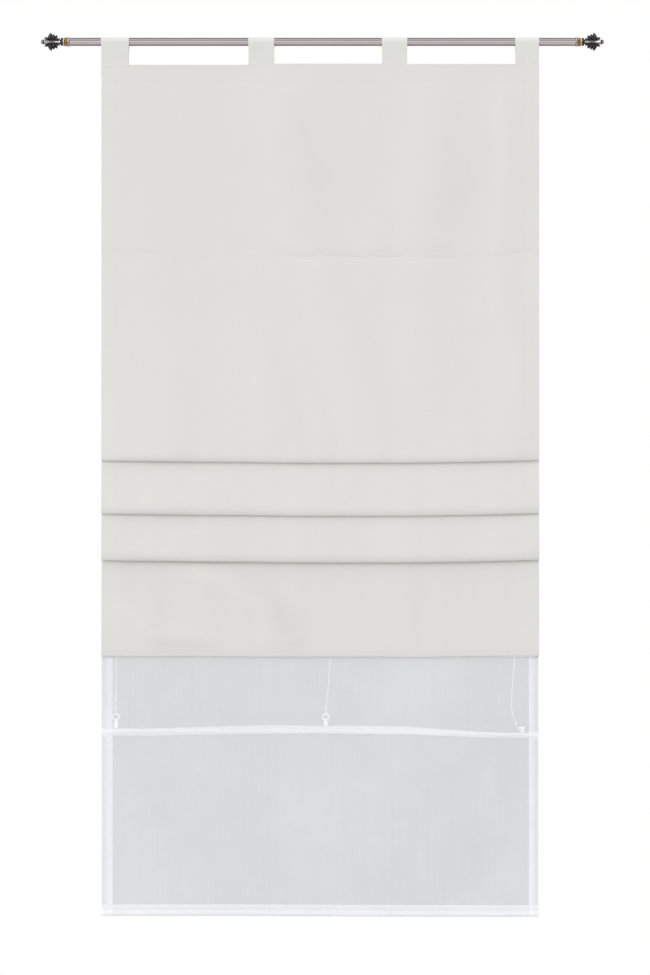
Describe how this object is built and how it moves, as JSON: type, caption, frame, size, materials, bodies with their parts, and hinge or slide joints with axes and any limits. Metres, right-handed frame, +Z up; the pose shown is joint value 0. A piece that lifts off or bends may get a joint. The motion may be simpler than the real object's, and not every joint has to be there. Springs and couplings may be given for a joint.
{
  "type": "roman blind",
  "caption": "Tab-top roman blind on a thin metal rod with leaf finials: an opaque pleated panel above a voile strip, with laths, rings and lift cords behind.",
  "frame": {"origin": "middle of the rod's axis", "axes": "+X along the rod to the right as seen from the room, +Y towards the wall behind the blind, +Z up"},
  "size_m": [1.0346, 0.0368, 1.6146],
  "materials": {
    "rod_metal": "brushed pewter lacquer with a faint pink cast",
    "plug_plastic": "moulded black plastic, hidden in the rod",
    "ring_metal": "bright plated ring",
    "band_gold": "antique gold with dark recesses",
    "finial_pewter": "blackened pewter, rubbed bright on its edges",
    "opaque_cloth": "plain woven cloth, warm light grey",
    "voile_cloth": "sheer plain-woven voile, cool light grey",
    "white_tape": "woven white tape",
    "lath_white": "white glass-fibre rod",
    "bar_white": "white lacquered steel rod",
    "ring_plastic": "white moulded plastic",
    "cord_white": "braided white cord"
  },
  "bodies": {
    "rod_and_heading": {"rod_tube": "rod_metal", "end_ring_left": "ring_metal", "end_ring_right": "ring_metal", "bead_band_left": "band_gold", "bead_band_right": "band_gold", "finial_left": "finial_pewter", "finial_right": "finial_pewter", "rod_plug_left": "plug_plastic", "rod_plug_right": "plug_plastic", "tab_1": "opaque_cloth", "tab_2": "opaque_cloth", "tab_3": "opaque_cloth", "tab_4": "opaque_cloth", "heading_facing": "opaque_cloth", "opaque_panel": "opaque_cloth", "rings_heading": "ring_plastic", "tapes_heading": "white_tape", "lift_cord_left": "cord_white", "lift_cord_middle": "cord_white", "lift_cord_right": "cord_white"},
    "lath_1_level": {"lath_pocket_1": "opaque_cloth", "lath_1": "lath_white", "rings_1": "ring_plastic", "tapes_1": "white_tape"},
    "lath_2_level": {"lath_2": "lath_white", "rings_2": "ring_plastic", "tapes_2": "white_tape"},
    "lath_3_level": {"lath_3": "lath_white", "rings_3": "ring_plastic", "tapes_3": "white_tape"},
    "lath_4_level": {"lath_4": "lath_white", "rings_4": "ring_plastic", "tapes_4": "white_tape"},
    "hem": {"hem_lath": "lath_white"},
    "voile": {"voile_panel": "voile_cloth", "voile_lath": "lath_white", "weight_bar": "bar_white", "rings_voile": "ring_plastic", "tapes_voile": "white_tape"}
  },
  "joints": [
    {"name": "raise", "type": "slide", "parent": "rod_and_heading", "child": "hem", "axis": [0, 0, 1], "range_m": [0, 0.6479], "deforming": ["opaque_panel", "lift_cord_left", "lift_cord_middle", "lift_cord_right"]},
    {"name": "raise_lath_1", "type": "slide", "parent": "rod_and_heading", "child": "lath_1_level", "axis": [0, 0, 1], "range_m": [0, 0.2095]},
    {"name": "raise_lath_2", "type": "slide", "parent": "rod_and_heading", "child": "lath_2_level", "axis": [0, 0, 1], "range_m": [0, 0.4201]},
    {"name": "raise_lath_3", "type": "slide", "parent": "rod_and_heading", "child": "lath_3_level", "axis": [0, 0, 1], "range_m": [0, 0.4783]},
    {"name": "raise_lath_4", "type": "slide", "parent": "rod_and_heading", "child": "lath_4_level", "axis": [0, 0, 1], "range_m": [0, 0.5292]},
    {"name": "raise_voile", "type": "slide", "parent": "hem", "child": "voile", "axis": [0, 0, 1], "range_m": [0, 0.0646], "deforming": ["voile_panel"]}
  ],
  "couplings": [
    {"joint": "raise_lath_1", "follows": "raise", "ratio": 0.3232},
    {"joint": "raise_lath_2", "follows": "raise", "ratio": 0.6482},
    {"joint": "raise_lath_3", "follows": "raise", "ratio": 0.738},
    {"joint": "raise_lath_4", "follows": "raise", "ratio": 0.8167},
    {"joint": "raise_voile", "follows": "raise", "ratio": 0.0995}
  ]
}
